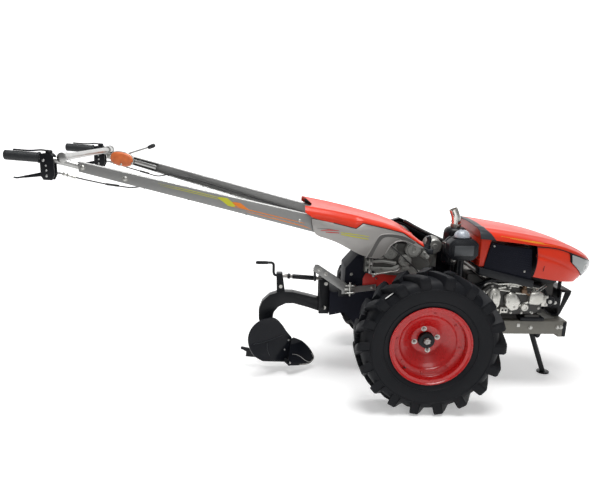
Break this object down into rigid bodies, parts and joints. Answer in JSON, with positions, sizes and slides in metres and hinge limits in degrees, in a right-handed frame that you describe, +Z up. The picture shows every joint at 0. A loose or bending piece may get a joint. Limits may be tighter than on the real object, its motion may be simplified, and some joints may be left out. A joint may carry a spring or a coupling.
{
  "type": "two-wheel walking tractor with plough",
  "caption": "Walk-behind farm tractor on lugged tyres, long handlebars, opening bonnet, prop stand and a mounted single-furrow plough that pitches on its hitch.",
  "frame": {"origin": "on the ground, midway along and across the whole machine", "axes": "+X forward, +Y to the machine's left, +Z up"},
  "size_m": [2.6531, 0.96, 1.1432],
  "materials": {
    "tyre": "moulded rubber",
    "rim_red": "gloss",
    "hub_black": "painted",
    "case_silver": "cast and painted",
    "frame_grey": "satin",
    "black_paint": "satin",
    "engine_dark": "painted casting",
    "cover_aluminium": "cast",
    "pulley_steel": "turned",
    "belt_rubber": "matte",
    "black_plastic": "satin",
    "radiator_dark": "painted",
    "tank_dark": "satin",
    "bonnet_red": "gloss",
    "lamp_glass": "clear over silver",
    "beam_silver": "metallic",
    "panel_grey": "satin",
    "tube_chrome": "polished",
    "grip_rubber": "matte",
    "cable_black": "sleeve",
    "shield_orange": "gloss",
    "share_steel": "worn"
  },
  "bodies": {
    "chassis": {"gearbox": "case_silver", "engine_frame": "frame_grey", "front_guard": "black_paint", "stand_bracket": "black_paint", "engine_block": "engine_dark", "gear_cover": "cover_aluminium", "clutch_pulley": "pulley_steel", "drive_belt": "belt_rubber", "belt_guard": "black_paint", "bonnet_tray": "black_plastic", "radiator": "radiator_dark", "radiator_screen": "black_plastic", "rear_panel": "bonnet_red", "fuel_tank": "tank_dark", "muffler": "black_paint", "air_cleaner": "black_plastic", "handle_beam_left": "beam_silver", "handle_beam_right": "beam_silver", "handle_yoke": "frame_grey", "handlebar": "tube_chrome", "grip_left": "grip_rubber", "grip_right": "grip_rubber", "steering_lever_left": "black_paint", "steering_lever_right": "black_paint", "clutch_cable_left": "cable_black", "clutch_cable_right": "cable_black", "control_shield": "shield_orange", "throttle_lever": "black_paint", "cover_top": "bonnet_red", "cover_side_left": "panel_grey", "cover_side_right": "panel_grey", "hitch_stay": "beam_silver", "plough_bracket": "black_paint"},
    "wheel_left": {"tyre_left": "tyre", "rim_left": "rim_red", "hub_left": "hub_black"},
    "wheel_right": {"tyre_right": "tyre", "rim_right": "rim_red", "hub_right": "hub_black"},
    "stand": {"stand_leg": "black_paint"},
    "bonnet": {"bonnet": "bonnet_red", "nose_cowl": "bonnet_red", "headlight_left": "lamp_glass", "headlight_right": "lamp_glass"},
    "plough": {"plough_beam": "black_paint", "mouldboard": "black_paint", "share": "share_steel", "landside": "black_paint", "depth_screw": "share_steel"}
  },
  "joints": [
    {"name": "wheel_left_spin", "type": "hinge", "parent": "chassis", "child": "wheel_left", "pos_m": [0.474, 0.3975, 0.32], "axis": [0, 1, 0], "continuous": true},
    {"name": "wheel_right_spin", "type": "hinge", "parent": "chassis", "child": "wheel_right", "pos_m": [0.474, -0.3975, 0.32], "axis": [0, 1, 0], "continuous": true},
    {"name": "stand_fold", "type": "hinge", "parent": "chassis", "child": "stand", "pos_m": [1.099, 0, 0.244], "axis": [0, 1, 0], "range_deg": [0, 105]},
    {"name": "bonnet_open", "type": "hinge", "parent": "chassis", "child": "bonnet", "pos_m": [1.194, 0, 0.56], "axis": [0, 1, 0], "range_deg": [0, 35]},
    {"name": "plough_pitch", "type": "hinge", "parent": "chassis", "child": "plough", "pos_m": [0.046, 0, 0.354], "axis": [0, 1, 0], "range_deg": [0, 10]}
  ]
}
